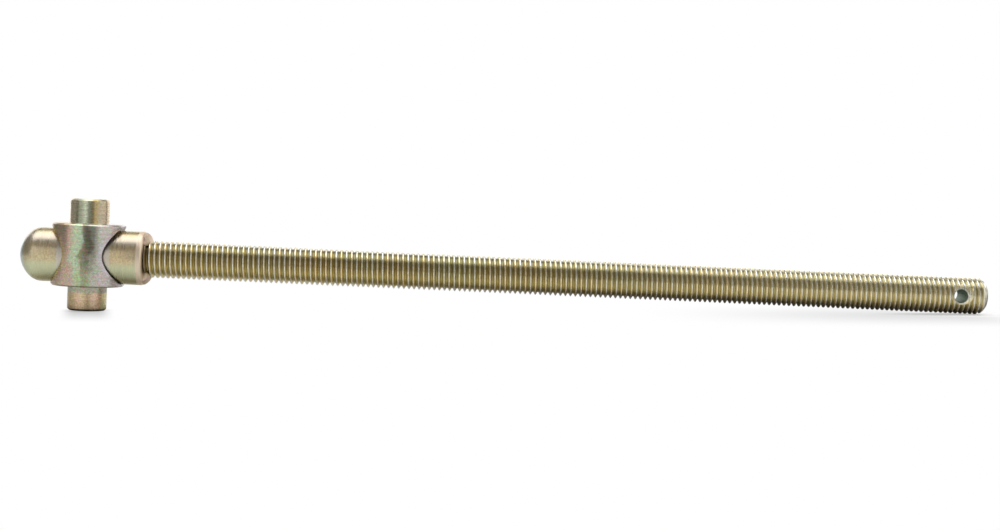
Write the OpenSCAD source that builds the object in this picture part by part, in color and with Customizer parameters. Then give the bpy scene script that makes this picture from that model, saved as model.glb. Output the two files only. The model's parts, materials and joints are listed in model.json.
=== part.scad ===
// Lift screw: a long threaded rod that turns in a trunnion.
// The rod passes through the middle of the trunnion. A collar is tacked to it by two short welds
// on one side and a domed cap is pressed on its end at the other. Both run in recesses of the block.
// X runs along the screw towards its free end, Z along the trunnion pins.
// The origin is the middle of the lower pin's end face.

/* [Trunnion] */
// Diameter of the trunnion block
block_d = 35.2; // [33:0.1:40]
// Height of the trunnion block
block_h = 30.6; // [30:0.1:36]
// Chamfer round the two rims of the block
block_chamfer = 0.8; // [0.3:0.1:1.5]
// Diameter of the two trunnion pins
pin_d = 18.8; // [12:0.1:24]
// Length of each pin beyond the block
pin_len = 12.2; // [6:0.1:30]
// Chamfer at the end of each pin
pin_chamfer = 1; // [0.3:0.1:2]
// Thickness of the web between the two recesses
web_t = 15; // [8:0.1:17]
// Gap all round between a collar and its recess
recess_gap = 1.5; // [0.9:0.05:1.6]

/* [Swivel] */
// Diameter of the collar and of the domed cap
head_d = 26.6; // [24:0.1:26.8]
// Distance from the trunnion axis to the outer face of the collar
collar_reach = 27.9; // [20:0.1:40]
// Distance from the trunnion axis to the tip of the domed cap
cap_reach = 32.5; // [28:0.1:45]
// Height of the dome over the barrel of the cap
dome_h = 8; // [4:0.1:9]
// Radius of the blend between the dome and the barrel
dome_blend = 8; // [1:0.5:10]
// Diameter of the flat at the tip of the dome
tip_flat_d = 5; // [2:0.5:10]
// Diameter of the plain journal that runs through the web
journal_d = 15.4; // [10:0.1:15.5]
// Radial play of the journal in the web
journal_play = 1; // [0.8:0.05:1.2]
// How far the screw lies below the middle of its bore at rest
sag = 0.7; // [0:0.05:0.75]
// End play between the web and each of the two heads
end_play = 0.3; // [0.2:0.05:1]
// How deep the journal's end goes into the cap
journal_hold = 12; // [8:0.5:16]
// Air behind the journal in the cap's blind bore
blind_gap = 1; // [0.5:0.1:3]

/* [Threaded rod] */
// Outside diameter over the thread crests
thread_d = 18.8; // [18:0.05:20]
// Advance of the thread in one turn
thread_pitch = 2.54; // [2:0.01:3.2]
// Depth of the thread
thread_depth = 1.45; // [1:0.05:1.55]
// Distance from the collar's face to the free end of the rod
rod_reach = 424.9; // [250:0.1:450]
// Chamfer at the free end, along the rod
end_chamfer = 3.4; // [1:0.1:4]
// Diameter of the flat at the free end
end_flat_d = 12.8; // [12:0.1:15]
// Diameter of the cross hole
hole_d = 7.1; // [4:0.1:9]
// Distance from the free end to the middle of the cross hole
hole_inset = 14.6; // [9:0.1:30]

/* [Weld] */
// Number of weld beads round the rod
weld_count = 2; // [1:1:3]
// Angle round the rod that each weld bead covers
weld_angle = 85; // [40:5:115]
// Length of a weld bead along the rod
weld_len = 3.2; // [2:0.1:5]
// Height that the weld leaves free at the edge of the collar
weld_margin = 0.3; // [0.2:0.05:1]
// How far the face of the weld swells out
weld_swell = 0.5; // [0:0.05:0.8]

/* [Hidden] */
$fn = 96;

// Steps round one turn of the thread
turn_steps = 16;
// Gap between the weld beads and the thread crests
weld_gap = 0.05;
// How far cutting shapes pass the faces that they cut
over = 1;
// Steps along the dome and along its blend
dome_steps = 10;
blend_steps = 8;

block_mid_z = pin_len + block_h / 2;
screw_z = block_mid_z - sag;
recess_d = head_d + 2 * recess_gap;
web_bore_d = journal_d + 2 * journal_play;
head_face = web_t / 2 + end_play;
rod_end = collar_reach + rod_reach;
crest_r = thread_d / 2;
root_r = crest_r - thread_depth;
thread_start = collar_reach;

// Points on an arc from angle a0 to a1 in n steps, without the points before the one named first
function arc(cx, cy, r, a0, a1, n, first = 0) =
    [for (i = [first:n]) let (a = a0 + (a1 - a0) * i / n) [cx + r * cos(a), cy + r * sin(a)]];

// Places a shape that is drawn round Z along the screw's axis, with its Z towards the free end
module on_screw() {
    translate([0, 0, screw_z]) rotate([0, 90, 0]) children();
}

// A cylinder along Z with both rims chamfered
module chamfered(d, h, c) {
    rotate_extrude()
        polygon([[0, 0], [d / 2 - c, 0], [d / 2, c], [d / 2, h - c], [d / 2 - c, h], [0, h]]);
}

// Right-hand thread surface: along each of turn_steps lines the points step from root to crest
// and back, half a pitch apart, and each line is shifted on by its share of a pitch. The points
// are held between the two end planes, where the surface is cut off square.
function along(j, m) = thread_start - 2 * thread_pitch + thread_pitch * (m / 2 + j / turn_steps);
function held(x) = min(max(x, thread_start), rod_end);
// Height above the root, from 0 to 1, at distance x on the line j
function rise(j, x) =
    let (turns = (x - along(j, 0)) / thread_pitch, part = turns - floor(turns))
    1 - abs(2 * part - 1);
function chamfer_r(x) =
    end_flat_d / 2 + (rod_end - x) * (crest_r - end_flat_d / 2) / end_chamfer;
function thread_point(j, m) =
    let (x = held(along(j, m)), r = min(root_r + thread_depth * rise(j, x), chamfer_r(x)),
         a = 360 * j / turn_steps)
    [x, r * cos(a), r * sin(a)];
function apart(a, b, c) = norm(a - b) > 1e-6 && norm(b - c) > 1e-6 && norm(c - a) > 1e-6;

module helical_thread() {
    halves = ceil(2 * (rod_end - thread_start) / thread_pitch) + 4;
    points = [for (m = [0:halves + 2], j = [0:turn_steps - 1]) thread_point(j, m)];
    function at(j, m) = j < turn_steps ? m * turn_steps + j : (m + 2) * turn_steps;
    skin = [for (m = [0:halves - 1], j = [0:turn_steps - 1])
        each [[at(j, m), at(j + 1, m + 1), at(j + 1, m)], [at(j, m), at(j, m + 1), at(j + 1, m + 1)]]];
    used = [for (f = skin) if (apart(points[f[0]], points[f[1]], points[f[2]])) f];
    start_cap = [for (j = [0:turn_steps - 1]) at(j, 0)];
    end_cap = [for (j = [turn_steps - 1:-1:0]) at(j, halves)];
    polyhedron(points, concat(used, [start_cap, end_cap]), convexity = 10);
}

module threaded_rod() {
    color([0.72, 0.64, 0.42])
    difference() {
        union() {
            on_screw() translate([0, 0, -head_face - journal_hold])
                cylinder(d = journal_d, h = head_face + journal_hold + collar_reach + over);
            translate([0, 0, screw_z]) helical_thread();
        }
        translate([rod_end - hole_inset, 0, screw_z]) rotate([90, 0, 0])
            cylinder(d = hole_d, h = thread_d + 2 * over, center = true);
    }
}

module shoulder_collar() {
    color([0.76, 0.69, 0.47])
    on_screw() difference() {
        translate([0, 0, head_face]) cylinder(d = head_d, h = collar_reach - head_face);
        translate([0, 0, head_face - over])
            cylinder(d = journal_d, h = collar_reach - head_face + 2 * over);
    }
}

// The first bead lies on top of the rod, and the others follow at equal angles
module weld_beads() {
    seat_r = crest_r + weld_gap;
    toe_r = head_d / 2 - weld_margin;
    color([0.74, 0.6, 0.47])
    on_screw() for (i = [0:weld_count - 1])
        rotate([0, 0, 180 - weld_angle / 2 + 360 * i / weld_count])
            rotate_extrude(angle = weld_angle) polygon([
                [seat_r, collar_reach],
                [toe_r, collar_reach],
                [(toe_r + seat_r) / 2 + weld_swell, collar_reach + weld_len / 2 + weld_swell / 2],
                [seat_r + weld_margin, collar_reach + weld_len],
                [seat_r, collar_reach + weld_len]
            ]);
}

// The dome is a sphere through the edge of the tip flat and the edge of the barrel. The blend is
// an arc that touches the sphere from inside and runs out along the barrel.
module domed_cap() {
    head_r = head_d / 2;
    flat_r = tip_flat_d / 2;
    centre_h = (dome_h * dome_h + head_r * head_r - flat_r * flat_r) / (2 * dome_h);
    dome_r = norm([centre_h, flat_r]);
    blend_in = sqrt(pow(dome_r - dome_blend, 2) - pow(head_r - dome_blend, 2));
    tip_a = -90 + asin(flat_r / dome_r);
    join_a = -90 + atan2(head_r - dome_blend, blend_in);
    color([0.76, 0.69, 0.47])
    on_screw() difference() {
        rotate_extrude() polygon(concat(
            [[0, -head_face], [0, -cap_reach]],
            arc(0, centre_h - cap_reach, dome_r, tip_a, join_a, dome_steps),
            arc(head_r - dome_blend, centre_h - blend_in - cap_reach, dome_blend, join_a, 0, blend_steps, 1),
            [[head_r, -head_face]]
        ));
        translate([0, 0, -head_face - journal_hold - blind_gap])
            cylinder(d = journal_d, h = journal_hold + blind_gap + over);
    }
}

module trunnion_block() {
    color([0.68, 0.7, 0.6])
    difference() {
        union() {
            chamfered(pin_d, 2 * pin_len + block_h, pin_chamfer);
            translate([0, 0, pin_len]) chamfered(block_d, block_h, block_chamfer);
        }
        translate([0, 0, block_mid_z]) rotate([0, 90, 0]) {
            cylinder(d = web_bore_d, h = block_d + 2 * over, center = true);
            for (side = [-1, 1])
                translate([0, 0, side * (web_t / 2 + block_d / 2)])
                    cylinder(d = recess_d, h = block_d, center = true);
        }
    }
}

threaded_rod();
shoulder_collar();
weld_beads();
domed_cap();
trunnion_block();
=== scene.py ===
# %% [markdown]
# A lift screw in Blender
#
# This lesson dresses a lift screw: a long threaded rod that turns in a trunnion. All its parts are
# steel with a yellow zinc plating, which shows gold, green and violet tints. The solid parts come
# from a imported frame, in metres, with X along the screw and Z along the trunnion pins. We model
# each part again with rounded edges and a true thread, exactly where the frame has it.

# %% Load the frame
import json
import math

import bpy
from mathutils import Matrix, Vector, noise


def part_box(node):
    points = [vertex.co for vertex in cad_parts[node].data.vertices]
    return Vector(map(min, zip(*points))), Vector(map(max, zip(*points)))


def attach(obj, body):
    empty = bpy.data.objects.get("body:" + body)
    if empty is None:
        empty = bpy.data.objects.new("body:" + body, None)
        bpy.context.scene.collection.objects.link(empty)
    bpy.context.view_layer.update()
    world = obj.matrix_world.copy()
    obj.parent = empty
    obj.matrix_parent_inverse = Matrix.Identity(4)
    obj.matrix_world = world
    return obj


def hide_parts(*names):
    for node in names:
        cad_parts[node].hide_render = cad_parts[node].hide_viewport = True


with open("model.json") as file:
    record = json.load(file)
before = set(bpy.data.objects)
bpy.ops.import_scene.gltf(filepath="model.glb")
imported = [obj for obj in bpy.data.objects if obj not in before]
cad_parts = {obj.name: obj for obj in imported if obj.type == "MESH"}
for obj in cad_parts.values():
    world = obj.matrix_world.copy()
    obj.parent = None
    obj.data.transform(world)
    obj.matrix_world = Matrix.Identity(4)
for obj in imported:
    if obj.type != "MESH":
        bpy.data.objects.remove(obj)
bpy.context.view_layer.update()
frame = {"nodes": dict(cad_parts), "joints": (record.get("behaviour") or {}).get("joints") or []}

# %% [markdown]
# The driving sizes are read from the frame wherever it can give them, so the pieces fit it. The
# rest, such as the form of the thread, are named values of the real part, in metres.

# %% Sizes
MM = 0.001
AXIS_Z = frame["joints"][0]["pos_m"][2]
COLLAR_LOW, COLLAR_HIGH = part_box("shoulder_collar")
CAP_LOW, CAP_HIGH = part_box("domed_cap")
WELD_LOW, WELD_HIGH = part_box("weld_beads")
ROD_LOW, ROD_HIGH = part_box("threaded_rod")
BLOCK_LOW, BLOCK_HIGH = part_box("trunnion_block")

HEAD_R = (COLLAR_HIGH.z - COLLAR_LOW.z) / 2
JOURNAL_R = 7.7 * MM
PITCH = 2.54 * MM
CREST_R = 9.4 * MM
ROOT_R = 7.95 * MM
PIN_R = 9.4 * MM
PIN_LENGTH = 12.2 * MM
BLOCK_R = 17.6 * MM
BLOCK_TOP = BLOCK_HIGH.z - PIN_LENGTH
BORE_Z = BLOCK_HIGH.z / 2
print("screw axis height", AXIS_Z, "head radius", round(HEAD_R, 5))

# %% [markdown]
# Most of the parts were turned on a lathe, and Blender's spin does the same: we draw half of the
# section as a chain of edges and spin it round the part's axis. A plane merged to one vertex is the
# start of the chain, and each extrusion adds the next corner. A round corner is a short arc.

# %% Lathe helpers
def deselect_all():
    """Nothing stays selected, so that the next operator only acts on its own piece."""
    if bpy.context.mode != "OBJECT":
        bpy.ops.object.mode_set(mode="OBJECT")
    bpy.ops.object.select_all(action="DESELECT")


def make_active(piece):
    deselect_all()
    piece.select_set(True)
    bpy.context.view_layer.objects.active = piece


def draw_chain(name, points):
    """A chain of edges through the points, drawn by extruding one vertex."""
    deselect_all()
    bpy.ops.mesh.primitive_plane_add(size=MM, location=(0, 0, 0))
    piece = bpy.context.object
    piece.name = name
    bpy.ops.object.mode_set(mode="EDIT")
    bpy.ops.mesh.select_all(action="SELECT")
    bpy.ops.mesh.merge(type="CENTER")
    bpy.ops.transform.translate(value=points[0])
    for before, after in zip(points, points[1:]):
        step = Vector(after) - Vector(before)
        bpy.ops.mesh.extrude_region_move(TRANSFORM_OT_translate={"value": step})
    bpy.ops.object.mode_set(mode="OBJECT")
    return piece


def corner(centre, radius, start, stop, steps=5):
    """Points on an arc in the plane of the section, with angles in degrees."""
    angles = [math.radians(start + (stop - start) * i / steps) for i in range(steps + 1)]
    return [(centre[0] + radius * math.cos(a), centre[1] + radius * math.sin(a)) for a in angles]


def finish_shell(piece):
    """Closes the seam and turns the faces outwards."""
    make_active(piece)
    bpy.ops.object.mode_set(mode="EDIT")
    bpy.ops.mesh.select_all(action="SELECT")
    bpy.ops.mesh.remove_doubles(threshold=1e-6)
    bpy.ops.mesh.normals_make_consistent(inside=False)
    bpy.ops.object.mode_set(mode="OBJECT")
    return piece


def spin_round(piece, centre, axis, steps):
    make_active(piece)
    bpy.ops.object.mode_set(mode="EDIT")
    bpy.ops.mesh.select_all(action="SELECT")
    bpy.ops.mesh.spin(steps=steps, angle=2 * math.pi, center=centre, axis=axis)
    bpy.ops.object.mode_set(mode="OBJECT")
    return finish_shell(piece)


def turned_on_screw(name, section, steps=128):
    """Spins a section of (distance along X, radius) round the screw's axis."""
    chain = draw_chain(name, [(x, 0, AXIS_Z + r) for x, r in section])
    return spin_round(chain, (0, 0, AXIS_Z), (1, 0, 0), steps)


def turned_on_pins(name, section, steps=160):
    """Spins a section of (radius, height) round the trunnion axis."""
    chain = draw_chain(name, [(r, 0, z) for r, z in section])
    return spin_round(chain, (0, 0, 0), (0, 0, 1), steps)


def smooth(piece, angle=30):
    make_active(piece)
    bpy.ops.object.shade_smooth_by_angle(angle=math.radians(angle))
    return piece


def report(piece):
    size = [round(d / MM, 2) for d in piece.dimensions]
    print(piece.name, len(piece.data.polygons), "faces,", size, "mm")


# %% [markdown]
# The domed cap is a plain barrel with a spherical end. The sphere runs out into the barrel by a
# large blend, and a small flat is left at the tip, as the parting tool leaves it. The flat bore for
# the journal can't be seen, but it keeps the form of the real part.

# %% Domed cap
DOME_R = 14.8 * MM
DOME_CENTRE = 14.6 * MM
DOME_BLEND = 8 * MM
EDGE_R = 0.5 * MM
CAP_BORE_END = CAP_HIGH.x - 13 * MM


def domed_section():
    tip, face = CAP_LOW.x, CAP_HIGH.x
    centre = tip + DOME_CENTRE
    blend_in = math.sqrt((DOME_R - DOME_BLEND) ** 2 - (HEAD_R - DOME_BLEND) ** 2)
    join = 180 - math.degrees(math.atan2(HEAD_R - DOME_BLEND, blend_in))
    start = 180 - math.degrees(math.acos(DOME_CENTRE / DOME_R))
    dome = corner((centre, 0), DOME_R, start, join, 22)
    blend = corner((centre - blend_in, HEAD_R - DOME_BLEND), DOME_BLEND, join, 90, 12)
    edge = corner((face - EDGE_R, HEAD_R - EDGE_R), EDGE_R, 90, 0)
    bore = [(face, JOURNAL_R), (CAP_BORE_END, JOURNAL_R), (CAP_BORE_END, 0)]
    return [(tip, 0)] + dome + blend[1:] + edge + bore


domed_cap = smooth(turned_on_screw("domed_cap_turned", domed_section()))
report(domed_cap)

# %% [markdown]
# The collar is the same bar, faced at both ends and bored for the journal. Its section is a closed
# ring, so the chain ends where it began and the seam is merged after the spin.

# %% Shoulder collar
WELDED_EDGE_R = 1.3 * MM


def collar_section():
    low, high = COLLAR_LOW.x, COLLAR_HIGH.x
    near = corner((low + EDGE_R, HEAD_R - EDGE_R), EDGE_R, 180, 90)
    far = corner((high - WELDED_EDGE_R, HEAD_R - WELDED_EDGE_R), WELDED_EDGE_R, 90, 0)
    return [(low, JOURNAL_R)] + near + far + [(high, JOURNAL_R), (low, JOURNAL_R)]


collar = smooth(turned_on_screw("shoulder_collar_turned", collar_section()))
report(collar)

# %% [markdown]
# Two short welds hold the collar on the rod, one on top and one below. They were laid by hand, so
# they are no clean fillets. Each starts as a rounded section spun over part of a turn. Its ends are
# then drawn down to a point and its skin is pushed in and out: short ripples follow each other, as
# the molten pool froze step by step, and slower noise makes the bead wander.

# %% Weld beads
WELD_ANGLE = 85
WELD_TOE_R = HEAD_R - 0.3 * MM
WELD_SEAT_R = CREST_R - 0.7 * MM
WELD_SWELL = 0.9 * MM
WELD_END_SLOPE = 0.28
RIPPLES = 34
RIPPLE_HEIGHT = 0.10 * MM
WANDER_HEIGHT = 0.45 * MM


def weld_section():
    low, high = WELD_LOW.x, WELD_HIGH.x
    root = low - 0.4 * MM
    section = [(root, WELD_SEAT_R), (root, WELD_TOE_R - 0.4 * MM), (low, WELD_TOE_R)]
    for i in range(1, 12):
        part = i / 12
        swell = 0.5 * WELD_SWELL * math.sin(math.pi * part)
        radius = WELD_TOE_R + (WELD_SEAT_R - WELD_TOE_R) * part + swell
        section.append((low + (high - low) * part + swell, radius))
    return section + [(high, WELD_SEAT_R)]


def shape_weld(piece, middle):
    """Draws the ends of the bead in and roughens its skin. The seats on rod and collar stay."""
    low, high = WELD_LOW.x, WELD_HIGH.x
    for vertex in piece.data.vertices:
        x, y, z = vertex.co
        radius = math.hypot(y, z - AXIS_Z)
        angle = math.atan2(z - AXIS_Z, y)
        away = abs((math.degrees(angle) - middle + 180) % 360 - 180) / (WELD_ANGLE / 2)
        full = min(1, (1 - min(away, 1)) / WELD_END_SLOPE) ** 0.6
        lift = (radius - WELD_SEAT_R) * (0.25 + 0.75 * full)
        ripple = RIPPLE_HEIGHT * math.sin(RIPPLES * angle + 900 * (x - low))
        wander = WANDER_HEIGHT * noise.fractal(Vector((x, y, z)) / (3.2 * MM), 1, 2, 3)
        if lift > 0.1 * MM:
            lift = max(lift + (ripple + wander) * full, 0.1 * MM)
        reach = low + (x - low) * (0.3 + 0.7 * full) if x > low else x
        scale = (WELD_SEAT_R + lift) / radius
        vertex.co = (reach, y * scale, AXIS_Z + (z - AXIS_Z) * scale)
    piece.data.update()


def weld_bead(name, middle):
    """One bead: the chain is turned to the bead's first edge, then spun over the bead's angle."""
    chain = draw_chain(name, [(x, 0, AXIS_Z + r) for x, r in weld_section()])
    make_active(chain)
    bpy.ops.object.mode_set(mode="EDIT")
    bpy.ops.mesh.select_all(action="SELECT")
    bpy.ops.mesh.edge_face_add()
    half = math.radians(WELD_ANGLE / 2)
    bpy.ops.transform.rotate(value=-half + math.radians(middle - 90), orient_axis="X",
                             center_override=(0, 0, AXIS_Z))
    bpy.ops.mesh.spin(steps=90, angle=2 * half, center=(0, 0, AXIS_Z), axis=(1, 0, 0))
    bpy.ops.object.mode_set(mode="OBJECT")
    finish_shell(chain)
    shape_weld(chain, middle)
    return smooth(chain, 60)


upper_weld = weld_bead("upper_weld_bead", 90)
lower_weld = weld_bead("lower_weld_bead", -90)
report(upper_weld)
report(lower_weld)

# %% [markdown]
# The thread is one ridge wound round the rod. The Screw modifier winds a section one pitch long
# round the axis and moves it on by a pitch in each turn, so the ends of neighbouring turns meet.
# The section is a rolled 60 degree thread: a narrow flat crest and a rounded root. We wind a turn
# too many at each end and cut the ends off square. Bisect keeps old vertices that lie within its
# threshold of the plane, and the default is too coarse for a mesh this fine, so we give it a small one.

# %% Threaded rod
TURN_STEPS = 40
THREAD_START = COLLAR_HIGH.x
CREST_AT = 33.04 * MM
ROD_END = ROD_HIGH.x
HALF_THREAD = [(0, 0), (0.2, 0.02), (0.33, 0.13), (1.03, 1.33), (1.13, 1.42), (1.27, 1.45)]


def thread_section():
    """One pitch of the thread from root to root, as (distance along X, radius)."""
    rising = [(x * MM, ROOT_R + h * MM) for x, h in HALF_THREAD]
    falling = [(PITCH - x, r) for x, r in reversed(rising[:-1])]
    return rising + falling


def cut_square(piece, x, outward):
    """Cuts the mesh at a plane across the screw, throws the outer part away and fills the cut."""
    make_active(piece)
    bpy.ops.object.mode_set(mode="EDIT")
    bpy.ops.mesh.select_all(action="SELECT")
    bpy.ops.mesh.bisect(plane_co=(x, 0, AXIS_Z), plane_no=(outward, 0, 0), use_fill=True, clear_outer=True,
                        threshold=1e-8)
    bpy.ops.object.mode_set(mode="OBJECT")


def wind_thread():
    first = CREST_AT - 0.75 * PITCH - math.ceil((CREST_AT - THREAD_START) / PITCH + 1) * PITCH
    turns = math.ceil((ROD_END - first) / PITCH) + 2
    chain = draw_chain("thread", [(first + x, 0, r) for x, r in thread_section()])
    chain.rotation_euler.x = -math.pi / 2
    chain.location.z = AXIS_Z
    make_active(chain)
    bpy.ops.object.transform_apply(location=False, rotation=True, scale=False)
    screw = chain.modifiers.new("wind", "SCREW")
    screw.axis = "X"
    screw.angle = 2 * math.pi
    screw.screw_offset = PITCH
    screw.iterations = turns
    screw.steps = screw.render_steps = TURN_STEPS
    screw.use_merge_vertices = False
    bpy.ops.object.modifier_apply(modifier="wind")
    bpy.ops.object.transform_apply(location=True, rotation=False, scale=False)
    finish_shell(chain)
    cut_square(chain, THREAD_START, -1)
    cut_square(chain, ROD_END, 1)
    return finish_shell(chain)


thread = wind_thread()
report(thread)

# %% [markdown]
# The free end is chamfered, as the bar was before it was rolled: no point of the last few turns
# stands out past a cone. Moving the points in keeps the mesh whole.

# %% Chamfer at the free end
END_CHAMFER = 3.4 * MM
END_FLAT_R = 6.4 * MM
END_ROUNDING = 0.5 * MM


def chamfer_end(piece):
    for vertex in piece.data.vertices:
        part = min(max((ROD_END - vertex.co.x) / END_CHAMFER, 0), 1)
        allowed = END_FLAT_R + part * (CREST_R - END_FLAT_R) + END_ROUNDING * math.sin(math.pi * part)
        radius = math.hypot(vertex.co.y, vertex.co.z - AXIS_Z)
        if radius > allowed:
            vertex.co.y *= allowed / radius
            vertex.co.z = AXIS_Z + (vertex.co.z - AXIS_Z) * allowed / radius
    piece.data.update()


chamfer_end(thread)

# %% [markdown]
# The plain journal is turned on the same bar, and a union joins it to the thread. Drilling the cross
# hole has smeared the grooves round its mouths: a plug that ends a little below the crests fills
# them there. A difference then drills the hole. The drill is a short chain spun round its own axis,
# wider where it leaves the rod, so the mouths get the countersink that deburring leaves.

# %% Journal and cross hole
JOURNAL_END = CAP_HIGH.x - 12 * MM
HOLE_R = 3.55 * MM
HOLE_X = ROD_END - 14.6 * MM
COUNTERSINK = 0.2 * MM
SMEAR_R = 5.2 * MM
SMEAR_SHIFT = 1.2 * MM
SMEAR_LIFT = 0.9 * MM
SMEAR_DEPTH = 0.4 * MM


def combine(piece, other, operation):
    """Adds or takes away another closed mesh and deletes it."""
    make_active(piece)
    modifier = piece.modifiers.new("combine", "BOOLEAN")
    modifier.operation = operation
    modifier.solver = "MANIFOLD"
    modifier.object = other
    bpy.ops.object.modifier_apply(modifier="combine")
    bpy.data.objects.remove(other)
    return piece


def journal_section():
    inside, c = COLLAR_HIGH.x + 2 * MM, 0.5 * MM
    return [(JOURNAL_END, 0), (JOURNAL_END, JOURNAL_R - c), (JOURNAL_END + c, JOURNAL_R),
            (inside, JOURNAL_R), (inside, 0)]


def spun_on_hole(name, section, steps, x=HOLE_X):
    """Spins a section of (radius, distance along Y) round the axis of the cross hole."""
    chain = draw_chain(name, [(x + r, y, AXIS_Z) for r, y in section])
    return spin_round(chain, (x, 0, AXIS_Z), (0, 1, 0), steps)


def drill():
    mouth, past = math.sqrt(CREST_R ** 2 - HOLE_R ** 2) - COUNTERSINK, CREST_R + MM
    wide = HOLE_R + past - mouth
    return spun_on_hole("drill", [(0, -past), (wide, -past), (HOLE_R, -mouth), (HOLE_R, mouth),
                                  (wide, past), (0, past)], 64)


def smeared_metal():
    """A plug across the rod whose two ends are moved onto a cylinder just under the crests."""
    rings = [SMEAR_R * i / 5 for i in range(6)]
    section = [(r, -CREST_R) for r in rings] + [(r, CREST_R) for r in reversed(rings)]
    plug = spun_on_hole("smear", section, 48, HOLE_X + SMEAR_SHIFT)
    for vertex in plug.data.vertices:
        vertex.co.z += SMEAR_LIFT
        height = vertex.co.z - AXIS_Z
        reach = math.sqrt((CREST_R - SMEAR_DEPTH) ** 2 - height ** 2)
        vertex.co.y = math.copysign(reach, vertex.co.y)
    plug.data.update()
    return plug


combine(thread, turned_on_screw("journal", journal_section()), "UNION")
combine(thread, smeared_metal(), "UNION")
combine(thread, drill(), "DIFFERENCE")
thread.name = "threaded_rod_wound"
smooth(thread, 25)
report(thread)

# %% [markdown]
# The trunnion is turned from one bar: block and pins are one chain, spun round the vertical axis.
# The bore and the two recesses are taken out with cutters, and a bevel breaks the edges that the
# cutters leave, as tumbling does before plating.

# %% Trunnion
PIN_CHAMFER = 1.0 * MM
RIM_CHAMFER = 0.8 * MM
WEB_HALF = 7.5 * MM
WEB_BORE_R = 8.7 * MM
RECESS_R = 14.8 * MM
MOUTH_BREAK = 0.35 * MM
ROOT_FILLET = 0.5 * MM


def trunnion_section():
    top, c, k = BLOCK_HIGH.z, PIN_CHAMFER, RIM_CHAMFER
    low, high = PIN_LENGTH, BLOCK_TOP
    lower_root = corner((PIN_R + ROOT_FILLET, low - ROOT_FILLET), ROOT_FILLET, 180, 90)
    upper_root = corner((PIN_R + ROOT_FILLET, high + ROOT_FILLET), ROOT_FILLET, 270, 180)
    return ([(0, 0), (PIN_R - c, 0), (PIN_R - 0.1 * c, 0.8 * c), (PIN_R, 1.3 * c)] + lower_root
            + [(BLOCK_R - k, low), (BLOCK_R - 0.1 * k, low + 0.8 * k), (BLOCK_R, low + 1.3 * k)]
            + [(BLOCK_R, high - 1.3 * k), (BLOCK_R - 0.1 * k, high - 0.8 * k), (BLOCK_R - k, high)]
            + upper_root
            + [(PIN_R, top - 1.3 * c), (PIN_R - 0.1 * c, top - 0.8 * c), (PIN_R - c, top), (0, top)])


def cross_cutter(name, radius, start, stop, steps):
    section = [(start, 0), (start, radius), (stop, radius), (stop, 0)]
    chain = draw_chain(name, [(x, 0, BORE_Z + r) for x, r in section])
    return spin_round(chain, (0, 0, BORE_Z), (1, 0, 0), steps)


trunnion = turned_on_pins("trunnion_turned", trunnion_section())
combine(trunnion, cross_cutter("bore", WEB_BORE_R, -BLOCK_R - MM, BLOCK_R + MM, 96), "DIFFERENCE")
combine(trunnion, cross_cutter("recess_far", RECESS_R, WEB_HALF, BLOCK_R + MM, 160), "DIFFERENCE")
combine(trunnion, cross_cutter("recess_near", RECESS_R, -BLOCK_R - MM, -WEB_HALF, 160), "DIFFERENCE")
make_active(trunnion)
edge_break = trunnion.modifiers.new("edge_break", "BEVEL")
edge_break.width = MOUTH_BREAK
edge_break.segments = 3
edge_break.limit_method = "ANGLE"
edge_break.angle_limit = math.radians(40)
bpy.ops.object.modifier_apply(modifier="edge_break")
smooth(trunnion, 30)
report(trunnion)

# %% [markdown]
# Node trees are easier to read when small helpers add and join the nodes. The same helpers build
# the shared node groups and the materials.

# %% Node helpers
def add_node(tree, kind, **settings):
    node = tree.nodes.new(kind)
    for key, value in settings.items():
        if key in node.inputs:
            node.inputs[key].default_value = value
        else:
            setattr(node, key, value)
    return node


def math_node(tree, operation, first, second=None, clamp=False):
    """A math node: each operand is a number or a socket."""
    node = tree.nodes.new("ShaderNodeMath")
    node.operation = operation
    node.use_clamp = clamp
    for socket, value in zip(node.inputs, (first, second)):
        if isinstance(value, bpy.types.NodeSocket):
            tree.links.new(value, socket)
        elif value is not None:
            socket.default_value = value
    return node.outputs[0]


def map_range(tree, value, low, high, to_low=0.0, to_high=1.0, smoothed=True):
    node = tree.nodes.new("ShaderNodeMapRange")
    node.interpolation_type = "SMOOTHSTEP" if smoothed else "LINEAR"
    tree.links.new(value, node.inputs["Value"])
    for name, number in (("From Min", low), ("From Max", high), ("To Min", to_low), ("To Max", to_high)):
        node.inputs[name].default_value = number
    return node.outputs["Result"]


def mix_colour(tree, factor, first, second, blend="MIX"):
    """Mixes two colours: each operand is a socket, or a colour of three numbers."""
    node = tree.nodes.new("ShaderNodeMix")
    node.data_type = "RGBA"
    node.blend_type = blend
    slots = (node.inputs[0], node.inputs[6], node.inputs[7])
    for socket, value in zip(slots, (factor, first, second)):
        if isinstance(value, bpy.types.NodeSocket):
            tree.links.new(value, socket)
        else:
            socket.default_value = value if isinstance(value, float) else (*value, 1.0)
    return node.outputs[2]


def new_group(name, inputs, outputs):
    """A shader node group with named sockets, given as (name, socket type, start value)."""
    group = bpy.data.node_groups.new(name, "ShaderNodeTree")
    for label, kind, start in inputs:
        socket = group.interface.new_socket(label, in_out="INPUT", socket_type=kind)
        if start is not None:
            socket.default_value = start
    for label, kind in outputs:
        group.interface.new_socket(label, in_out="OUTPUT", socket_type=kind)
    return group, group.nodes.new("NodeGroupInput"), group.nodes.new("NodeGroupOutput")


FLOAT, COLOUR, VECTOR = "NodeSocketFloat", "NodeSocketColor", "NodeSocketVector"

# %% [markdown]
# Yellow zinc plating is a thin film, and its colour wanders with its thickness: gold over most of
# the part, with patches of green, rose and slate blue. One node group mixes the four tints by slow
# noise. Each material gives it its own tints and patch size.

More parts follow.
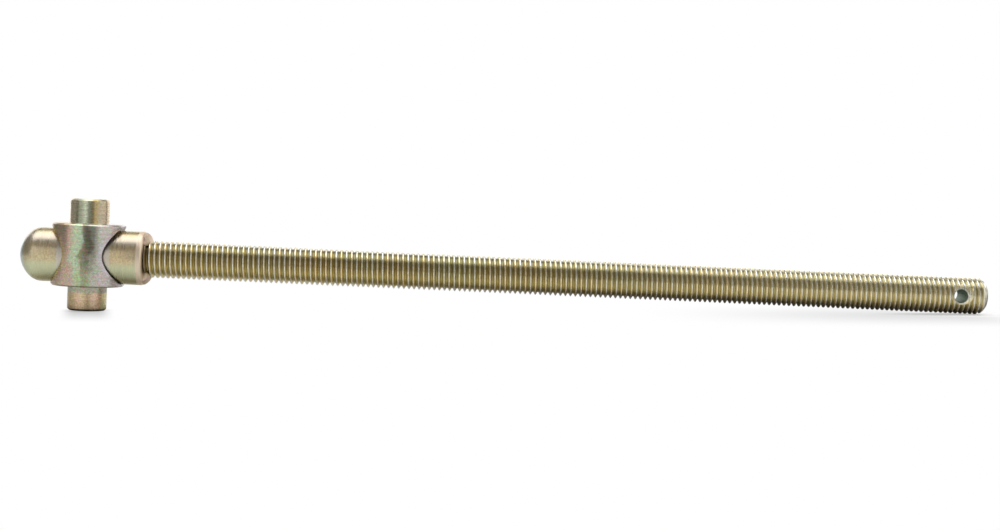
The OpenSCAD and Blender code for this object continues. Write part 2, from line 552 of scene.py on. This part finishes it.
# %% Plating tint group
def build_plating_group():
    group, entry, leave = new_group(
        "plating_tints",
        [("Position", VECTOR, None), ("Patches", FLOAT, 90.0),
         ("Gold", COLOUR, None), ("Green", COLOUR, None), ("Rose", COLOUR, None), ("Slate", COLOUR, None),
         ("Green Share", FLOAT, 0.5), ("Rose Share", FLOAT, 0.4), ("Slate Share", FLOAT, 0.4)],
        [("Color", COLOUR), ("Film", FLOAT)])
    link = group.links.new
    masks = []
    for offset, share in ((0.0, "Green Share"), (7.3, "Rose Share"), (19.1, "Slate Share")):
        moved = group.nodes.new("ShaderNodeVectorMath")
        moved.operation = "ADD"
        moved.inputs[1].default_value = (offset, offset * 0.7, -offset)
        link(entry.outputs["Position"], moved.inputs[0])
        cloud = add_node(group, "ShaderNodeTexNoise", Detail=3.0, Roughness=0.55)
        link(moved.outputs[0], cloud.inputs["Vector"])
        link(entry.outputs["Patches"], cloud.inputs["Scale"])
        mask = map_range(group, cloud.outputs["Fac"], 0.42, 0.66)
        masks.append(math_node(group, "MULTIPLY", mask, entry.outputs[share], clamp=True))
    colour = mix_colour(group, masks[0], entry.outputs["Gold"], entry.outputs["Green"])
    colour = mix_colour(group, masks[1], colour, entry.outputs["Rose"])
    colour = mix_colour(group, masks[2], colour, entry.outputs["Slate"])
    link(colour, leave.inputs["Color"])
    link(masks[0], leave.inputs["Film"])
    return group


# %% [markdown]
# A cutting tool leaves fine rings on a turned part. The rings only change along the part's axis, so
# a noise that reads that one distance gives them, and a second, slower noise makes some of the
# rings deeper than others. The group puts out a height for the bump and a tone for the colour.

# %% Turning marks group
def build_turning_group():
    group, entry, leave = new_group(
        "turning_marks",
        [("Distance", FLOAT, 0.0), ("Rings", FLOAT, 4000.0), ("Position", VECTOR, None)],
        [("Height", FLOAT), ("Tone", FLOAT)])
    link = group.links.new
    fine = add_node(group, "ShaderNodeTexNoise", noise_dimensions="1D", Detail=4.0, Roughness=0.7,
                    Scale=1.0)
    link(math_node(group, "MULTIPLY", entry.outputs["Distance"], entry.outputs["Rings"]), fine.inputs["W"])
    slow = add_node(group, "ShaderNodeTexNoise", noise_dimensions="1D", Detail=2.0, Roughness=0.6,
                    Scale=1.0)
    slowed = math_node(group, "MULTIPLY", entry.outputs["Distance"], 900.0)
    link(slowed, slow.inputs["W"])
    smear = add_node(group, "ShaderNodeTexNoise", Scale=260.0, Detail=2.0)
    link(entry.outputs["Position"], smear.inputs["Vector"])
    both = math_node(group, "ADD", fine.outputs["Fac"], slow.outputs["Fac"])
    height = math_node(group, "ADD", both, math_node(group, "MULTIPLY", smear.outputs["Fac"], 0.5))
    link(height, leave.inputs["Height"])
    link(map_range(group, both, 0.75, 1.25), leave.inputs["Tone"])
    return group


PLATING = build_plating_group()
TURNING = build_turning_group()
print("groups", [g.name for g in bpy.data.node_groups])

# %% [markdown]
# The shared part of every finish comes from small helpers: one starts a metal with its object
# coordinates split up, and others give the distance from an axis, put in a node group, mix in a
# tint and add a bump. Each material then adds what is its own, such as its tints and turning marks.

# %% Shared metal set-up
def use_group(tree, group, **values):
    node = tree.nodes.new("ShaderNodeGroup")
    node.node_tree = group
    for label, value in values.items():
        socket = node.inputs[label.replace("_", " ")]
        if isinstance(value, bpy.types.NodeSocket):
            tree.links.new(value, socket)
        else:
            socket.default_value = value if isinstance(value, float) else (*value, 1.0)
    return node


def start_metal(name):
    """A material with object coordinates split up, and a metal shader that waits for its inputs."""
    material = bpy.data.materials.new(name)
    material.use_nodes = True
    tree = material.node_tree
    tree.nodes.clear()
    output = tree.nodes.new("ShaderNodeOutputMaterial")
    metal = tree.nodes.new("ShaderNodeBsdfPrincipled")
    metal.inputs["Metallic"].default_value = 1.0
    tree.links.new(metal.outputs[0], output.inputs["Surface"])
    place = tree.nodes.new("ShaderNodeTexCoord").outputs["Object"]
    parts = tree.nodes.new("ShaderNodeSeparateXYZ")
    tree.links.new(place, parts.inputs[0])
    return material, tree, metal, place, parts.outputs


def radius_from(tree, sideways, height, centre_z):
    """Distance from an axis at the height centre_z, from the two coordinates across that axis."""
    up = math_node(tree, "SUBTRACT", height, centre_z)
    squares = math_node(tree, "ADD", math_node(tree, "MULTIPLY", sideways, sideways),
                        math_node(tree, "MULTIPLY", up, up))
    return math_node(tree, "SQRT", squares)


def tint(tree, factor, share, colour, other):
    """Mixes a share of another colour in where the factor says so."""
    return mix_colour(tree, math_node(tree, "MULTIPLY", factor, share), colour, other)


def add_bump(tree, metal, height, strength, distance):
    bump = tree.nodes.new("ShaderNodeBump")
    bump.inputs["Strength"].default_value = strength
    bump.inputs["Distance"].default_value = distance
    tree.links.new(height, bump.inputs["Height"])
    tree.links.new(bump.outputs[0], metal.inputs["Normal"])


# %% [markdown]
# The cap and the collar are bright turned steel under the plating: warm gold, with a slate tint on
# the flat tip of the dome. Light is painted into the colour as well: a painted reflection of the
# table greens the lower side, a painted highlight band above the axis turns the overhead streak
# whiter, painted shade darkens the underside, and a greyer band beside the block's recess is the
# block's painted reflection and shade.

# %% Head finish
def speckled(tree, place, colour, share, depth):
    """Scatters fine specks of green and rose over a colour, with a grain of light and dark."""
    speckle = use_group(tree, PLATING, Position=place, Patches=850.0,
                        Gold=(0.56, 0.46, 0.24), Green=(0.22, 0.70, 0.16),
                        Rose=(0.90, 0.28, 0.38), Slate=(0.50, 0.50, 0.66),
                        Green_Share=1.0, Rose_Share=1.0, Slate_Share=0.8)
    specks = mix_colour(tree, share, colour, speckle.outputs["Color"])
    grain = add_node(tree, "ShaderNodeTexNoise", Scale=1300.0, Detail=2.0)
    tree.links.new(place, grain.inputs["Vector"])
    shade = tree.nodes.new("ShaderNodeVectorMath")
    shade.operation = "SCALE"
    tree.links.new(specks, shade.inputs[0])
    light = map_range(tree, grain.outputs["Fac"], 0.3, 0.7, 1 - depth, 1 + depth, smoothed=False)
    tree.links.new(light, shade.inputs["Scale"])
    return shade.outputs["Vector"]


def head_material():
    material, tree, metal, place, parts = start_metal("plated_head")
    tints = use_group(tree, PLATING, Position=place, Patches=70.0,
                      Gold=(0.67, 0.52, 0.27), Green=(0.58, 0.56, 0.31),
                      Rose=(0.70, 0.53, 0.34), Slate=(0.52, 0.50, 0.38),
                      Green_Share=0.5, Rose_Share=0.5, Slate_Share=0.35)
    marks = use_group(tree, TURNING, Distance=parts[0], Rings=5200.0, Position=place)
    colour = speckled(tree, place, tints.outputs["Color"], 0.12, 0.22)
    colour = tint(tree, marks.outputs["Tone"], 0.30, colour, (0.76, 0.66, 0.45))
    # Painted reflection of the table: the lower side of the cap and collar turns green.
    low_side_reflection = map_range(tree, parts[2], AXIS_Z - 1 * MM, AXIS_Z - 5 * MM)
    colour = tint(tree, low_side_reflection, 0.8, colour, (0.62, 0.67, 0.44))
    # Painted highlight: a greyer band above the axis, where the overhead streak falls, turns it whiter.
    pale_low = map_range(tree, parts[2], AXIS_Z + 5.5 * MM, AXIS_Z + 7.5 * MM)
    pale_high = map_range(tree, parts[2], AXIS_Z + 11.5 * MM, AXIS_Z + 10 * MM)
    highlight_band = math_node(tree, "MULTIPLY", pale_low, pale_high)
    colour = tint(tree, highlight_band, 0.9, colour, (0.60, 0.53, 0.43))
    # Painted shade: the underside of the cap and collar is darker.
    underside_shade = map_range(tree, parts[2], AXIS_Z - 8.5 * MM, AXIS_Z - 11.5 * MM)
    colour = tint(tree, underside_shade, 0.7, colour, (0.50, 0.42, 0.20))
    # Painted reflection and shade of the block: a greyer band on the cap and collar beside its recess.
    reach = math_node(tree, "ABSOLUTE", parts[0])
    wear_and_sheen = map_range(tree, reach, 0.0131, 0.0124)
    colour = tint(tree, wear_and_sheen, 0.7, colour, (0.62, 0.58, 0.53))
    heated = map_range(tree, parts[0], COLLAR_HIGH.x - 3.0 * MM, COLLAR_HIGH.x - 2.4 * MM)
    colour = tint(tree, heated, 0.85, colour, (0.88, 0.73, 0.58))
    tip = map_range(tree, parts[0], CAP_LOW.x + 4.0 * MM, CAP_LOW.x + 1.6 * MM)
    colour = tint(tree, tip, 0.9, colour, (0.58, 0.67, 0.66))
    tree.links.new(colour, metal.inputs["Base Color"])
    rough = map_range(tree, marks.outputs["Tone"], 0.0, 1.0, 0.27, 0.37)
    scaled = math_node(tree, "MULTIPLY", heated, 0.18)
    tree.links.new(math_node(tree, "ADD", rough, scaled), metal.inputs["Roughness"])
    add_bump(tree, metal, marks.outputs["Height"], 0.25, 0.00006)
    return material


# %% [markdown]
# The block shows its film most: gold and rose on one side, green in the middle and violet grey on
# the other. A colour ramp from side to side gives these bands and noise breaks their borders up.
# The pins have a ramp of their own, and the lower one is green only where it leaves the block. The
# ramps are partly painted reflection as well: the near-black stop right of the block's middle and
# the darkest stops on the pins paint the dark gap where the camera stands, and the near-white stops
# on the pins are painted highlights.

# %% Block finish
# Film tints mixed with painted reflection: the near-black stop and the pins' darkest stops paint the dark
# gap where the camera stands, and the pins' near-white stops are painted highlights.
BLOCK_BANDS = [
    (0.00, (0.58, 0.41, 0.16)), (0.10, (0.59, 0.41, 0.21)), (0.24, (0.66, 0.43, 0.27)),
    (0.32, (0.68, 0.44, 0.33)), (0.40, (0.52, 0.84, 0.50)), (0.49, (0.52, 0.84, 0.52)),
    (0.52, (0.07, 0.12, 0.04)), (0.60, (0.08, 0.13, 0.05)), (0.64, (0.54, 0.67, 0.52)),
    (0.78, (0.60, 0.58, 0.62)), (1.00, (0.64, 0.61, 0.54)),
]
PIN_BANDS = [
    (0.29, (1.00, 0.82, 0.54)), (0.345, (0.92, 0.84, 0.56)), (0.39, (0.24, 0.26, 0.17)),
    (0.44, (0.30, 0.38, 0.27)), (0.48, (0.60, 0.70, 0.49)), (0.525, (0.88, 0.98, 0.70)),
    (0.565, (0.70, 0.74, 0.50)), (0.605, (0.47, 0.32, 0.08)), (0.645, (0.47, 0.33, 0.08)),
    (0.68, (0.46, 0.39, 0.28)), (0.74, (0.74, 0.56, 0.35)),
]
LOWER_PIN_BANDS = [
    (0.36, (0.60, 0.42, 0.20)), (0.41, (0.85, 0.58, 0.36)), (0.455, (0.96, 0.70, 0.46)),
    (0.50, (0.88, 0.63, 0.38)), (0.575, (0.50, 0.29, 0.15)), (0.62, (0.90, 0.62, 0.42)),
    (0.655, (1.00, 0.71, 0.50)), (0.70, (0.80, 0.47, 0.30)), (0.75, (1.00, 0.92, 0.46)),
]
LOW_BANDS = [
    (0.00, (0.42, 0.30, 0.20)), (0.22, (0.46, 0.26, 0.22)), (0.34, (0.54, 0.40, 0.36)),
    (0.44, (0.38, 0.60, 0.20)), (0.56, (0.36, 0.54, 0.16)), (0.68, (0.52, 0.58, 0.46)),
    (0.82, (0.70, 0.66, 0.74)),
]
ROOT_BAND = (0.36, 0.42, 0.31)


def colour_ramp(tree, value, bands):
    """A colour ramp with one stop for each (place, colour)."""
    ramp = tree.nodes.new("ShaderNodeValToRGB")
    tree.links.new(value, ramp.inputs[0])
    for place_at, colour in bands[2:]:
        ramp.color_ramp.elements.new(place_at)
    for element, (place_at, colour) in zip(ramp.color_ramp.elements, bands):
        element.position = place_at
        element.color = (*colour, 1.0)
    return ramp.outputs[0]


def block_material():
    material, tree, metal, place, parts = start_metal("plated_block")
    wander = add_node(tree, "ShaderNodeTexNoise", Scale=150.0, Detail=3.0)
    tree.links.new(place, wander.inputs["Vector"])
    shift = math_node(tree, "MULTIPLY", math_node(tree, "SUBTRACT", wander.outputs["Fac"], 0.5), 0.008)
    across = math_node(tree, "ADD", parts[0], shift)
    side = map_range(tree, across, -BLOCK_R, BLOCK_R, smoothed=False)
    across_pin = math_node(tree, "ADD", parts[0], math_node(tree, "MULTIPLY", shift, 0.3))
    pin_side = map_range(tree, across_pin, -BLOCK_R, BLOCK_R, smoothed=False)
    above = math_node(tree, "GREATER_THAN", parts[2], BLOCK_TOP + 0.2 * MM)
    colour = mix_colour(tree, above, colour_ramp(tree, side, BLOCK_BANDS),
                        colour_ramp(tree, pin_side, PIN_BANDS))
    low_part = map_range(tree, parts[2], BORE_Z - 4 * MM, BORE_Z - 11 * MM)
    colour = tint(tree, low_part, 0.55, colour, colour_ramp(tree, side, LOW_BANDS))
    colour = mix_colour(tree, math_node(tree, "LESS_THAN", parts[2], PIN_LENGTH), colour, ROOT_BAND)
    below = map_range(tree, parts[2], PIN_LENGTH - 2.8 * MM, PIN_LENGTH - 3.6 * MM)
    colour = mix_colour(tree, below, colour, colour_ramp(tree, pin_side, LOWER_PIN_BANDS))
    tints = use_group(tree, PLATING, Position=place, Patches=210.0,
                      Gold=(0.60, 0.50, 0.34), Green=(0.44, 0.57, 0.33),
                      Rose=(0.66, 0.47, 0.40), Slate=(0.54, 0.52, 0.56),
                      Green_Share=0.9, Rose_Share=0.8, Slate_Share=0.6)
    marks = use_group(tree, TURNING, Distance=parts[2], Rings=1900.0, Position=place)
    colour = mix_colour(tree, 0.2, colour, tints.outputs["Color"])
    on_pins = math_node(tree, "ADD", above, below)
    share = map_range(tree, on_pins, 0.0, 1.0, 0.40, 0.16, smoothed=False)
    colour = speckled(tree, place, colour, share, 0.22)
    from_bore = radius_from(tree, parts[1], parts[2], BORE_Z)
    mouth = map_range(tree, from_bore, RECESS_R + 1.7 * MM, RECESS_R + 0.4 * MM)
    right_half = math_node(tree, "GREATER_THAN", parts[0], 0.0)
    edge_tint = mix_colour(tree, right_half, (0.66, 0.50, 0.20), (0.66, 0.60, 0.68))
    colour = tint(tree, mouth, 0.55, colour, edge_tint)
    colour = tint(tree, marks.outputs["Tone"], 0.18, colour, (0.28, 0.30, 0.20))
    tree.links.new(colour, metal.inputs["Base Color"])
    rough = map_range(tree, marks.outputs["Tone"], 0.0, 1.0, 0.25, 0.32)
    tree.links.new(rough, metal.inputs["Roughness"])
    add_bump(tree, metal, marks.outputs["Height"], 0.15, 0.00005)
    return material


# %% [markdown]
# The weld was not turned, so it has no rings. Its plating is pinker and duller, with a grainy skin.

# %% Weld finish
def weld_material():
    material, tree, metal, place, parts = start_metal("plated_weld")
    tints = use_group(tree, PLATING, Position=place, Patches=260.0,
                      Gold=(0.62, 0.48, 0.32), Green=(0.50, 0.47, 0.33),
                      Rose=(0.70, 0.50, 0.40), Slate=(0.55, 0.52, 0.50),
                      Green_Share=0.4, Rose_Share=0.9, Slate_Share=0.3)
    grain = add_node(tree, "ShaderNodeTexNoise", Scale=1500.0, Detail=4.0)
    tree.links.new(place, grain.inputs["Vector"])
    tree.links.new(tints.outputs["Color"], metal.inputs["Base Color"])
    tree.links.new(map_range(tree, grain.outputs["Fac"], 0.3, 0.7, 0.36, 0.55), metal.inputs["Roughness"])
    add_bump(tree, metal, grain.outputs["Fac"], 0.5, 0.00015)
    return material


# %% [markdown]
# On the thread the colour follows the depth: the crests are worn to a silvery grey, the flanks are
# olive gold, and painted shade darkens the roots, most of all on the upper side. Light is painted
# in by side as well: the worn crests are whiter on top as a painted highlight, the lower side is a
# warmer gold as a painted reflection of the table, painted shade darkens the underside towards the
# free end, and painted shade fills the first groove beside the collar. The edge of the hole and the
# last turns are paler.

# %% Thread finish
PALE_GOLD = (0.92, 0.83, 0.55)
LOW_GOLD = (0.88, 0.68, 0.28)


def thread_material():
    material, tree, metal, place, parts = start_metal("plated_thread")
    tints = use_group(tree, PLATING, Position=place, Patches=45.0,
                      Gold=(0.64, 0.52, 0.22), Green=(0.56, 0.55, 0.26),
                      Rose=(0.68, 0.50, 0.24), Slate=(0.54, 0.54, 0.38),
                      Green_Share=0.6, Rose_Share=0.6, Slate_Share=0.4)
    radius = radius_from(tree, parts[1], parts[2], AXIS_Z)
    paler = map_range(tree, parts[0], 0.15, 0.42)
    colour = tint(tree, paler, 0.75, tints.outputs["Color"], PALE_GOLD)
    # Painted reflection of the table: the lower side is a warmer gold.
    low_side_reflection = map_range(tree, parts[2], AXIS_Z - 1 * MM, AXIS_Z - 4 * MM)
    colour = tint(tree, low_side_reflection, 0.5, colour, LOW_GOLD)
    # Painted shade in the grooves: the roots are darker, most of all on the upper side.
    root = map_range(tree, radius, ROOT_R + 0.9 * MM, ROOT_R + 0.1 * MM)
    top_side = map_range(tree, parts[2], AXIS_Z + 2.5 * MM, AXIS_Z + 6 * MM)
    root_shade = mix_colour(tree, paler, (0.33, 0.27, 0.12), (0.50, 0.43, 0.22))
    root_shade = mix_colour(tree, low_side_reflection, root_shade, (0.43, 0.40, 0.18))
    root_shade = mix_colour(tree, top_side, root_shade, (0.24, 0.24, 0.16))
    colour = tint(tree, root, 0.85, colour, root_shade)
    # Painted shade: the underside is darker towards the free end.
    underside_shade = math_node(tree, "MULTIPLY", map_range(tree, parts[2], AXIS_Z - 5 * MM, AXIS_Z - 8 * MM),
                           map_range(tree, parts[0], 0.10, 0.28))
    colour = tint(tree, underside_shade, 0.6, colour, (0.50, 0.38, 0.16))
    rub = add_node(tree, "ShaderNodeTexNoise", Scale=420.0, Detail=3.0)
    tree.links.new(place, rub.inputs["Vector"])
    worn = map_range(tree, radius, CREST_R - 0.32 * MM, CREST_R - 0.10 * MM)
    worn = math_node(tree, "MULTIPLY", worn, map_range(tree, rub.outputs["Fac"], 0.25, 0.5, 0.6, 1.0))
    # The worn crests are silvery grey, and whiter on the top side as a painted highlight.
    wear_and_sheen = mix_colour(tree, top_side, (0.83, 0.82, 0.76), (1.0, 1.0, 0.97))
    colour = mix_colour(tree, worn, colour, wear_and_sheen)
    end_side = map_range(tree, parts[0], ROD_END - 4.5 * MM, ROD_END - 2.5 * MM)
    colour = tint(tree, end_side, 0.7, colour, (0.86, 0.84, 0.76))
    # Painted shade in the first groove, in the crease between the collar and the thread.
    collar_crease_shade = map_range(tree, parts[0], THREAD_START + 2.6 * MM, THREAD_START + 1.5 * MM)
    colour = tint(tree, collar_crease_shade, 0.82, colour, (0.12, 0.08, 0.03))
    from_hole = radius_from(tree, math_node(tree, "SUBTRACT", parts[0], HOLE_X), parts[2], AXIS_Z)
    bright_edge = map_range(tree, from_hole, HOLE_R + 1.3 * MM, HOLE_R + 0.3 * MM)
    colour = tint(tree, bright_edge, 0.6, colour, (0.90, 0.90, 0.86))
    in_hole = map_range(tree, from_hole, HOLE_R + 0.12 * MM, HOLE_R + 0.04 * MM)
    colour = mix_colour(tree, in_hole, colour, (0.36, 0.43, 0.34))
    tree.links.new(colour, metal.inputs["Base Color"])
    grain = add_node(tree, "ShaderNodeTexNoise", Scale=2200.0, Detail=2.0)
    tree.links.new(place, grain.inputs["Vector"])
    rough = map_range(tree, grain.outputs["Fac"], 0.3, 0.7, 0.25, 0.38)
    rough = math_node(tree, "ADD", rough, math_node(tree, "MULTIPLY", in_hole, 0.35))
    polished = math_node(tree, "MULTIPLY", worn, 0.10)
    tree.links.new(math_node(tree, "SUBTRACT", rough, polished), metal.inputs["Roughness"])
    add_bump(tree, metal, grain.outputs["Fac"], 0.2, 0.00004)
    return material


FINISHES = {
    "head_zinc": head_material(),
    "block_zinc": block_material(),
    "weld_zinc": weld_material(),
    "rod_zinc": thread_material(),
}
print("finishes", list(FINISHES))

# %% [markdown]
# Every piece rides on the body that carries it, stands for its solid in the frame and names the
# slot that its finish belongs to.

# %% Hand the pieces to the frame
PIECES = [
    (domed_cap, "domed_cap", "screw", "head_zinc"),
    (collar, "shoulder_collar", "screw", "head_zinc"),
    (upper_weld, "weld_beads", "screw", "weld_zinc"),
    (lower_weld, "weld_beads", "screw", "weld_zinc"),
    (thread, "threaded_rod", "screw", "rod_zinc"),
    (trunnion, "trunnion_block", "trunnion", "block_zinc"),
]
for piece, node, body, slot in PIECES:
    for carrier in (piece, frame["nodes"][node]):
        carrier.data.materials.clear()
        carrier.data.materials.append(FINISHES[slot])
    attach(piece, body)
    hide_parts(node)
    print(piece.name, "rides on", body)

# %% [markdown]
# The screw lies on a white table: it stands on the edge of its lower pin and on the last crests of
# its free end. In the part's own frame that table slopes up a little towards the free end. The
# floor is a large plane through both contact points.

# %% Floor
PIN_CONTACT = Vector((PIN_R - PIN_CHAMFER, 0, 0))
END_CONTACT = Vector((ROD_END - END_CHAMFER, 0, AXIS_Z - CREST_R))
FLOOR_SLOPE = math.atan2(END_CONTACT.z - PIN_CONTACT.z, END_CONTACT.x - PIN_CONTACT.x)
FLOOR_SIZE = 30.0
SHADE_GLOW = 0.42
PIN_SHADE = Vector((0.012, 0.020, 1))
END_SHADE = Vector((0.060, 0.020, 1))
PIN_SHADOW, END_SHADOW = 0.40, 0.24
PIN_SHADOW_SLANT = 0.218


def contact_distance(tree, place, point, reach):
    """Distance from a contact point in parts of a reach along and across, in the floor's coordinates."""
    away = tree.nodes.new("ShaderNodeVectorMath")
    away.operation = "SUBTRACT"
    tree.links.new(place, away.inputs[0])
    away.inputs[1].default_value = point
    scaled = tree.nodes.new("ShaderNodeVectorMath")
    scaled.operation = "DIVIDE"
    tree.links.new(away.outputs[0], scaled.inputs[0])
    scaled.inputs[1].default_value = reach
    length = tree.nodes.new("ShaderNodeVectorMath")
    length.operation = "LENGTH"
    tree.links.new(scaled.outputs[0], length.inputs[0])
    return length.outputs["Value"]


def floor_material():
    """White to the camera, with real soft shadows close to the two contacts and painted shadows in front
    of the pin and under the free end. To the light and in reflections a card, with painted shade
    behind the screw and round the pin's foot, and a dark patch towards the camera.
    """
    material = bpy.data.materials.new("white_table")
    material.use_nodes = True
    tree = material.node_tree
    tree.nodes.clear()
    output = tree.nodes.new("ShaderNodeOutputMaterial")
    card = tree.nodes.new("ShaderNodeBsdfDiffuse")
    shade = add_node(tree, "ShaderNodeBsdfDiffuse", Color=(0.62, 0.62, 0.62, 1))
    glow = add_node(tree, "ShaderNodeEmission", Color=(1, 1, 1, 1), Strength=SHADE_GLOW)
    near = tree.nodes.new("ShaderNodeAddShader")
    tree.links.new(shade.outputs[0], near.inputs[0])
    tree.links.new(glow.outputs[0], near.inputs[1])
    far = add_node(tree, "ShaderNodeEmission", Color=(1, 1, 1, 1), Strength=1.0)
    place = tree.nodes.new("ShaderNodeTexCoord").outputs["Object"]
    parts = tree.nodes.new("ShaderNodeSeparateXYZ")
    tree.links.new(place, parts.inputs[0])
    forward = math_node(tree, "MULTIPLY", parts.outputs[1], -1.0)
    beyond = map_range(tree, forward, 0.15, 0.33)
    bearing = math_node(tree, "DIVIDE", parts.outputs[0], math_node(tree, "MAXIMUM", forward, 0.1))
    right_of = math_node(tree, "MULTIPLY", map_range(tree, bearing, 0.0, 0.12), beyond)
    gap = math_node(tree, "MULTIPLY", right_of, map_range(tree, bearing, 0.75, 0.55))
    # Painted shade on the card, seen in reflections: darker behind the screw, and darker still towards its
    # free end.
    behind = map_range(tree, parts.outputs[1], -0.012, 0.004)
    under_end = map_range(tree, parts.outputs[0], 0.08, 0.32)
    back_tone = mix_colour(tree, under_end, (0.65, 0.65, 0.65), (0.10, 0.10, 0.10))
    tone = mix_colour(tree, behind, (0.88, 0.88, 0.88), back_tone)
    tone = mix_colour(tree, gap, tone, (0.05, 0.05, 0.05))
    pin_middle = (-PIN_CONTACT.x, 0, 0)
    from_pin = contact_distance(tree, place, pin_middle, PIN_SHADE)
    from_end = contact_distance(tree, place, (END_CONTACT.x - PIN_CONTACT.x, 0, 0), END_SHADE)
    # Painted contact shadow on the card round the foot of the lower pin.
    under_pin = contact_distance(tree, place, pin_middle, (0.014, 0.014, 1))
    tone = mix_colour(tree, map_range(tree, under_pin, 1.0, 0.8), tone, (0.12, 0.12, 0.12))
    tree.links.new(tone, card.inputs["Color"])
    fade = map_range(tree, math_node(tree, "MINIMUM", from_pin, from_end), 0.3, 1.0)
    # Painted shadows for the camera: a strip in front of the lower pin and a patch under the free end
    # darken the white.
    slant = math_node(tree, "MULTIPLY", forward, PIN_SHADOW_SLANT)
    aside = math_node(tree, "SUBTRACT", math_node(tree, "ADD", parts.outputs[0], PIN_CONTACT.x), slant)
    beside = map_range(tree, math_node(tree, "ABSOLUTE", aside), 0.014, 0.005)
    soft_pin = math_node(tree, "MULTIPLY", beside, map_range(tree, forward, 0.075, 0.0))
    soft_pin = math_node(tree, "MULTIPLY", soft_pin, map_range(tree, forward, -0.015, 0.0))
    soft_pin = math_node(tree, "MULTIPLY", soft_pin, PIN_SHADOW)
    along = math_node(tree, "MULTIPLY", map_range(tree, parts.outputs[0], 0.26, 0.42),
                      map_range(tree, parts.outputs[0], 0.462, 0.425))
    across = math_node(tree, "ABSOLUTE", math_node(tree, "SUBTRACT", forward, 0.01))
    soft_end = math_node(tree, "MULTIPLY", along, map_range(tree, across, 0.075, 0.0))
    soft_end = math_node(tree, "MULTIPLY", soft_end, END_SHADOW)
    white = math_node(tree, "SUBTRACT", 1.0, math_node(tree, "ADD", soft_pin, soft_end))
    tree.links.new(white, far.inputs["Strength"])
    seen = tree.nodes.new("ShaderNodeMixShader")
    tree.links.new(fade, seen.inputs[0])
    tree.links.new(near.outputs[0], seen.inputs[1])
    tree.links.new(far.outputs[0], seen.inputs[2])
    path = tree.nodes.new("ShaderNodeLightPath")
    mix = tree.nodes.new("ShaderNodeMixShader")
    tree.links.new(path.outputs["Is Camera Ray"], mix.inputs[0])
    tree.links.new(card.outputs[0], mix.inputs[1])
    tree.links.new(seen.outputs[0], mix.inputs[2])
    tree.links.new(mix.outputs[0], output.inputs["Surface"])
    return material


deselect_all()
bpy.ops.mesh.primitive_plane_add(size=FLOOR_SIZE, location=PIN_CONTACT, rotation=(0, -FLOOR_SLOPE, 0))
floor = bpy.context.object
floor.name = "table"
floor.data.materials.append(floor_material())
print("table slope", round(math.degrees(FLOOR_SLOPE), 2), "degrees")

# %% [markdown]
# Metal shows what is round it. The light is a plain soft studio: a long soft box overhead gives the
# bright streak on the screw, two softer ones stand left and right in front, and between them lies
# the dark gap where the camera stands, made darker by a patch painted on the table there. The
# block's dark stripe is that gap's reflection, and the block's colour ramp paints it in as well.

# %% Lights
def soft_box(name, place, aim, size, power):
    deselect_all()
    bpy.ops.object.light_add(type="AREA", location=place)
    lamp = bpy.context.object
    lamp.name = name
    lamp.data.shape = "RECTANGLE"
    lamp.data.size, lamp.data.size_y = size
    lamp.data.energy = power
    lamp.visible_camera = False
    lamp.rotation_euler = (Vector(aim) - Vector(place)).to_track_quat("-Z", "Y").to_euler()
    return lamp


MIDDLE = (0.2, 0, 0.03)
soft_box("overhead", (0.2, 0.1, 1.2), MIDDLE, (2.6, 1.0), 15)
soft_box("left_front", (-0.85, -1.35, 0.35), (0, 0, 0.03), (1.6, 1.1), 3.5)
soft_box("right_front", (1.75, -0.35, 0.45), (0.1, 0, 0.03), (3.2, 1.3), 9.5)
soft_box("behind", (0.2, 2.0, 0.5), MIDDLE, (4.0, 1.4), 22)


def build_world():
    world = bpy.data.worlds.new("studio")
    bpy.context.scene.world = world
    world.use_nodes = True
    tree = world.node_tree
    tree.nodes.clear()
    output = tree.nodes.new("ShaderNodeOutputWorld")
    around = add_node(tree, "ShaderNodeBackground", Color=(0.95, 0.95, 0.95, 1), Strength=0.24)
    white = add_node(tree, "ShaderNodeBackground", Color=(1, 1, 1, 1), Strength=1.0)
    path = tree.nodes.new("ShaderNodeLightPath")
    mix = tree.nodes.new("ShaderNodeMixShader")
    tree.links.new(path.outputs["Is Camera Ray"], mix.inputs[0])
    tree.links.new(around.outputs[0], mix.inputs[1])
    tree.links.new(white.outputs[0], mix.inputs[2])
    tree.links.new(mix.outputs[0], output.inputs["Surface"])


build_world()

# %% [markdown]
# The camera stands as it did for the photograph: about 80 cm from the screw, a little above it, and
# nearer to the trunnion than to the free end.

# %% Camera
CAMERA_PLACE = Vector((0.17315, -0.79452, AXIS_Z + 0.04037))
PAN, TILT, ROLL = math.radians(-3.661), math.radians(-2.492), math.radians(-2.774)
FOCAL_PX, IMAGE_WIDTH, CENTRE_SHIFT_PX = 1580.9, 1000, 40

camera_data = bpy.data.cameras.new("camera")
camera = bpy.data.objects.new("camera", camera_data)
bpy.context.scene.collection.objects.link(camera)
turn = Matrix.Rotation(PAN, 4, "Z") @ Matrix.Rotation(TILT, 4, "X") @ Matrix.Rotation(ROLL, 4, "Y")
camera.matrix_world = Matrix.Translation(CAMERA_PLACE) @ turn @ Matrix.Rotation(math.pi / 2, 4, "X")
camera_data.sensor_width = 36
camera_data.lens = FOCAL_PX * camera_data.sensor_width / IMAGE_WIDTH
camera_data.shift_x = -CENTRE_SHIFT_PX / IMAGE_WIDTH
camera_data.clip_start, camera_data.clip_end = 0.01, 100
bpy.context.scene.camera = camera
bpy.context.scene.view_settings.view_transform = "Standard"
print("lens", round(camera_data.lens, 1), "mm")
